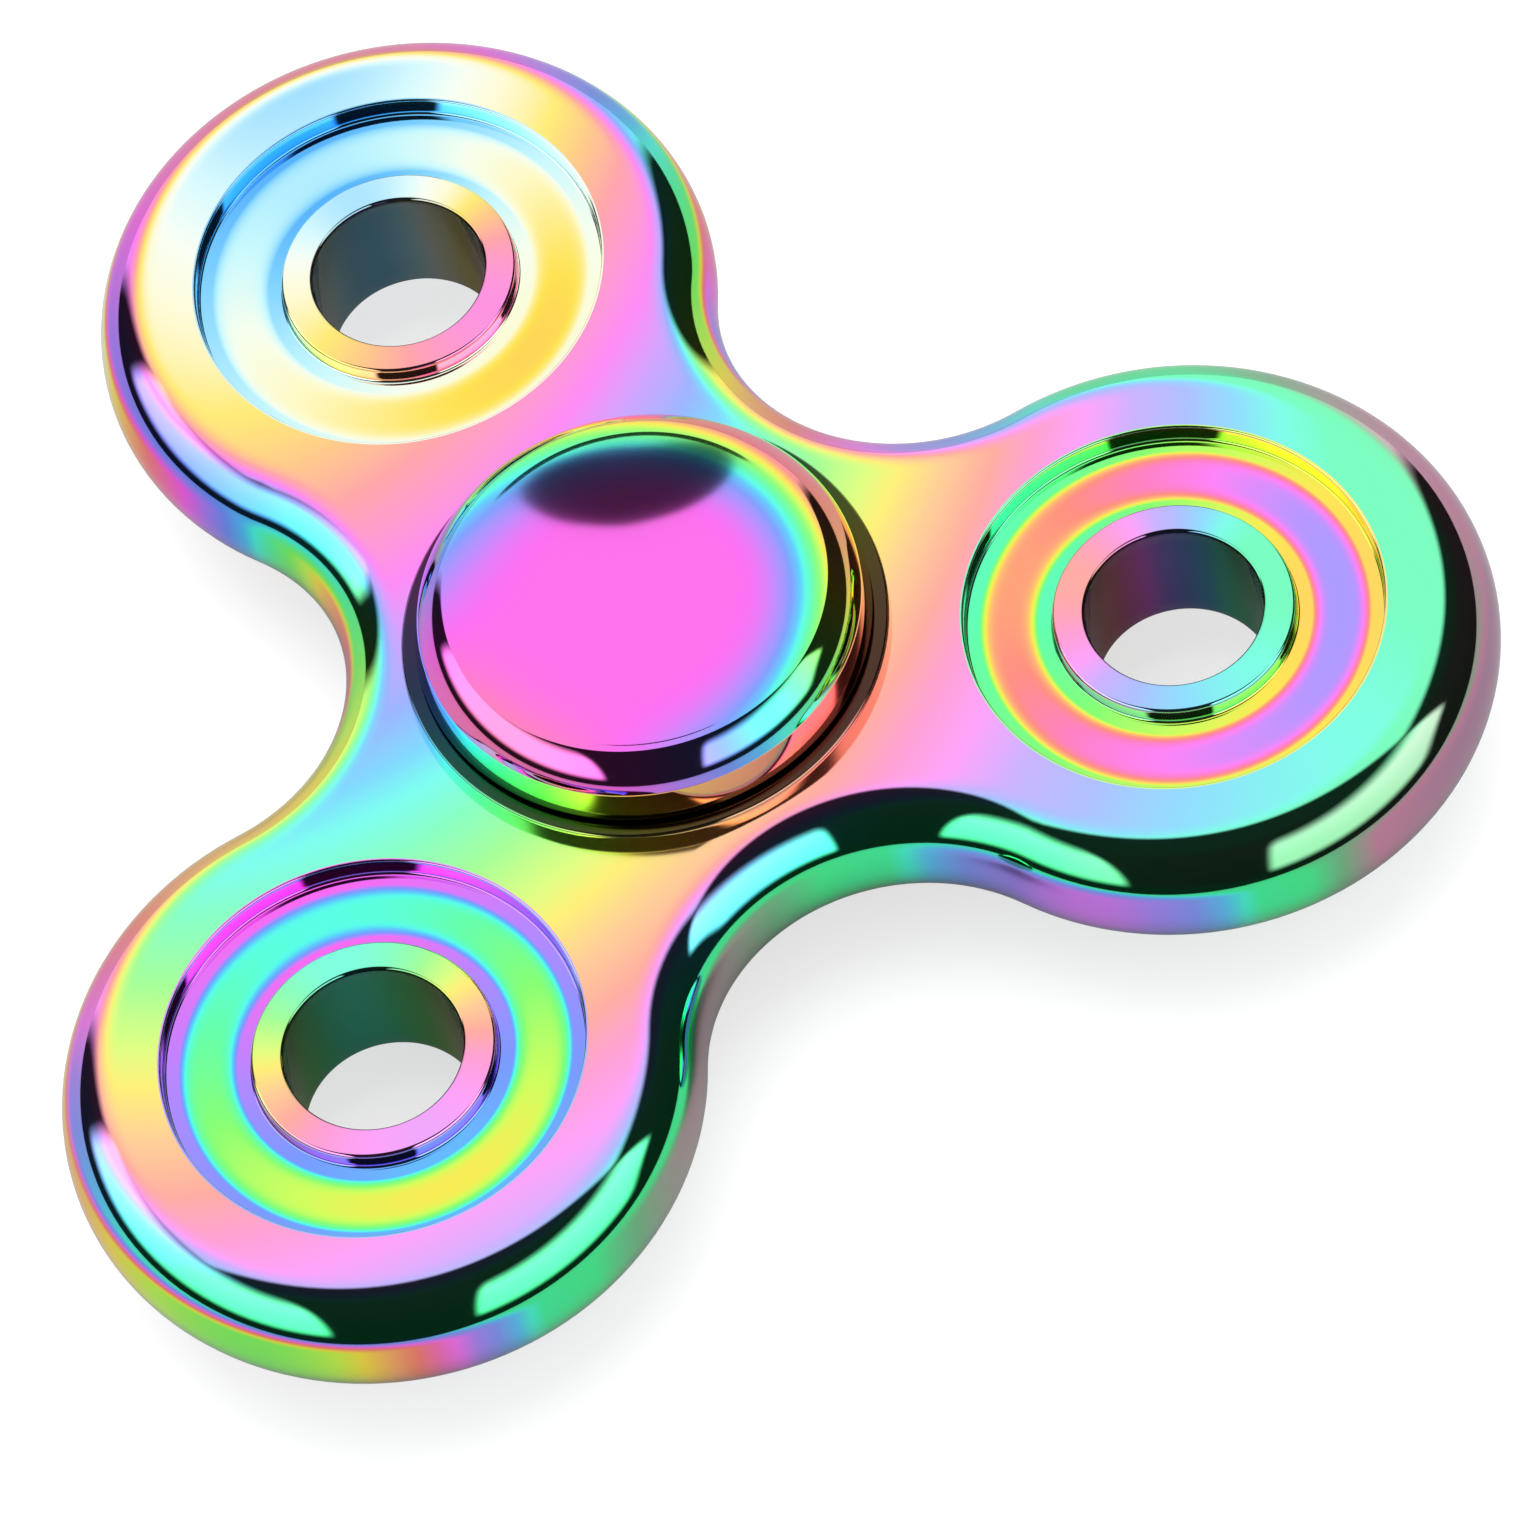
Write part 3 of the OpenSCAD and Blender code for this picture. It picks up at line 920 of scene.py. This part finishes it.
@dataclass
class Studio:
    """A pale floor, a light tent, a small dark card, a lamp and the camera."""

    camera_place: tuple[float, float, float] = (-81.54, -258.47, 426.61)
    camera_right: tuple[float, float, float] = (0.86409, -0.48929, -0.11811)
    camera_up: tuple[float, float, float] = (0.47499, 0.71499, 0.51300)
    lens: float = 238.5
    sensor: float = 36.0
    clip: tuple[float, float] = (0.01, 20.0)  # metres
    floor_height: float = -8.5
    floor_radius: float = 3000.0
    floor_steps: int = 64
    paper: str = "#a8a8a8"
    paper_glow: float = 0.62
    tent_turn: float = 108.4  # degrees from +X, clockwise, of the tent's open side
    tent_dark: float = 0.018  # what the metal mirrors between the panels
    tent_fill: float = 1.25  # what lights everything that isn't mirrored
    panels: tuple[Panel, ...] = (
        Panel((-2.0, 0.09, 0.04), (-0.66, 0.62, 0.05), (-2.0, 2.0, 0.01), 1.0),
        Panel((0.10, 2.0, 0.03), (0.19, 0.90, 0.03), (0.2, 0.74, 0.09), 1.7),
        Panel((-0.45, 2.0, 0.05), (-1.1, -0.5, 0.03), (0.2, 0.72, 0.09), 1.7),
    )
    card_half: tuple[float, float] = (1.25, 1.9)
    card_place: tuple[float, float, float] = (4.3, 14.7, 38.5)
    card_turn: float = 47.0
    card_glow: float = 0.045
    card_steps: int = 48
    lamp_size: float = 0.8  # metres
    lamp_power: float = 6.0
    lamp_place: tuple[float, float, float] = (0.05, 0.2, 0.9)  # metres
    lamp_tilt: tuple[float, float, float] = (-0.22, 0.05, 0.0)  # radians

    def build(self) -> None:
        """Make the floor, the tent, the card, the lamp and the camera."""
        self._camera()
        self._floor()
        self._tent()
        self._card()
        self._lamp()

    def _camera(self) -> None:
        """Place the camera."""
        data = bpy.data.cameras.new("camera")
        data.lens, data.sensor_width = self.lens, self.sensor
        data.clip_start, data.clip_end = self.clip
        camera = bpy.data.objects.new("camera", data)
        right, up = Vector(self.camera_right).normalized(), Vector(self.camera_up).normalized()
        back = right.cross(up).normalized()
        up = back.cross(right)
        turn = Matrix((right, up, back)).transposed().to_4x4()
        camera.matrix_world = Matrix.Translation(Vector(self.camera_place) * MM) @ turn
        bpy.context.scene.collection.objects.link(camera)
        bpy.context.scene.camera = camera

    def _floor(self) -> None:
        """Lay the floor."""
        bm = bmesh.new()
        bmesh.ops.create_circle(bm, cap_ends=True, segments=self.floor_steps, radius=self.floor_radius)
        bmesh.ops.translate(bm, vec=(0, 0, self.floor_height), verts=bm.verts)
        material = empty_material("studio_paper_matt_white")
        tree = material.node_tree
        # The camera sees bright, evenly lit paper; the polished metal mirrors it darker
        glossy = add_node(tree, "ShaderNodeLightPath").outputs["Is Glossy Ray"]
        lit = add_node(tree, "ShaderNodeBsdfDiffuse", inputs={"Color": linear(self.paper)}).outputs[0]
        glow = add_node(tree, "ShaderNodeEmission", inputs={"Strength": self.paper_glow}).outputs[0]
        bright = add_node(tree, "ShaderNodeAddShader", inputs={0: lit, 1: glow}).outputs[0]
        paper = add_node(tree, "ShaderNodeMixShader", inputs={0: glossy, 1: bright, 2: lit}).outputs[0]
        add_node(tree, "ShaderNodeOutputMaterial", inputs={"Surface": paper})
        finished(bm, "studio_floor", material)

    def _tent(self) -> None:
        """Hang the tent: white behind and above, dark in front, with a soft box at each side."""
        world = bpy.data.worlds.new("light_tent")
        bpy.context.scene.world = world
        world.use_nodes = True
        tree = world.node_tree
        tree.nodes.clear()
        place = add_node(tree, "ShaderNodeTexCoord").outputs["Generated"]
        turned = add_node(
            tree, "ShaderNodeVectorRotate", {"rotation_type": "Z_AXIS"},
            {"Angle": math.radians(self.tent_turn), "Vector": place},
        ).outputs[0]
        total = self.tent_dark
        for panel in self.panels:
            share = panel.strength
            for axis, (low, high, soft) in zip("XYZ", (panel.ahead, panel.aside, panel.above)):
                along = part_of(tree, turned, axis)
                for span in ((low - soft, low + soft), (high + soft, high - soft)):
                    share = maths(tree, "MULTIPLY", share, eased(tree, along, span))
            total = maths(tree, "MAXIMUM", total, share)
        glossy = add_node(tree, "ShaderNodeLightPath").outputs["Is Glossy Ray"]
        light = mixed(tree, glossy, self.tent_fill, total)
        tent = add_node(
            tree, "ShaderNodeBackground", inputs={"Color": linear("#ffffff"), "Strength": light}
        ).outputs[0]
        add_node(tree, "ShaderNodeOutputWorld", inputs={"Surface": tent})
        bpy.context.scene.view_settings.view_transform = "Standard"

    def _card(self) -> None:
        """Hold a small dark card over the upper cap, where only its dish mirrors it."""
        bm = bmesh.new()
        turn = Matrix.Rotation(math.radians(self.card_turn), 3, "Z")
        bmesh.ops.create_circle(bm, cap_ends=True, segments=self.card_steps, radius=1.0)
        bmesh.ops.scale(bm, vec=(*self.card_half, 1), verts=bm.verts)
        bmesh.ops.rotate(bm, cent=(0, 0, 0), matrix=turn, verts=bm.verts)
        bmesh.ops.translate(bm, vec=self.card_place, verts=bm.verts)
        material = empty_material("black_card")
        tree = material.node_tree
        tone = add_node(tree, "ShaderNodeEmission", inputs={"Strength": self.card_glow}).outputs[0]
        add_node(tree, "ShaderNodeOutputMaterial", inputs={"Surface": tone})
        card = finished(bm, "studio_card", material)
        card.visible_camera = card.visible_diffuse = card.visible_shadow = False

    def _lamp(self) -> None:
        """Hang a broad lamp that lights the floor but isn't mirrored in the metal."""
        data = bpy.data.lights.new("overhead_lamp", "AREA")
        data.size, data.energy = self.lamp_size, self.lamp_power
        lamp = bpy.data.objects.new("overhead_lamp", data)
        lamp.location, lamp.rotation_euler = self.lamp_place, self.lamp_tilt
        lamp.visible_glossy = False
        bpy.context.scene.collection.objects.link(lamp)


def main() -> None:
    """Build the scene and report each piece."""
    logging.basicConfig(level=logging.INFO, format="%(name)s: %(message)s")
    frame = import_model()
    Studio().build()
    body = SpinnerBody().build(RainbowCoating(Zone.BODY).material())
    cap_finish = RainbowCoating(Zone.CAP).material()
    caps = [FingerCap(upper=side).build(cap_finish) for side in (True, False)]
    for piece in (body, *caps):
        LOG.info("%s: %d faces", piece.name, len(piece.data.polygons))
    kept = {n: o for n, o in frame["nodes"].items() if n not in ("body", "cap_upper", "cap_lower")}
    BearingParts().dress(kept)


if __name__ == "__main__":
    main()
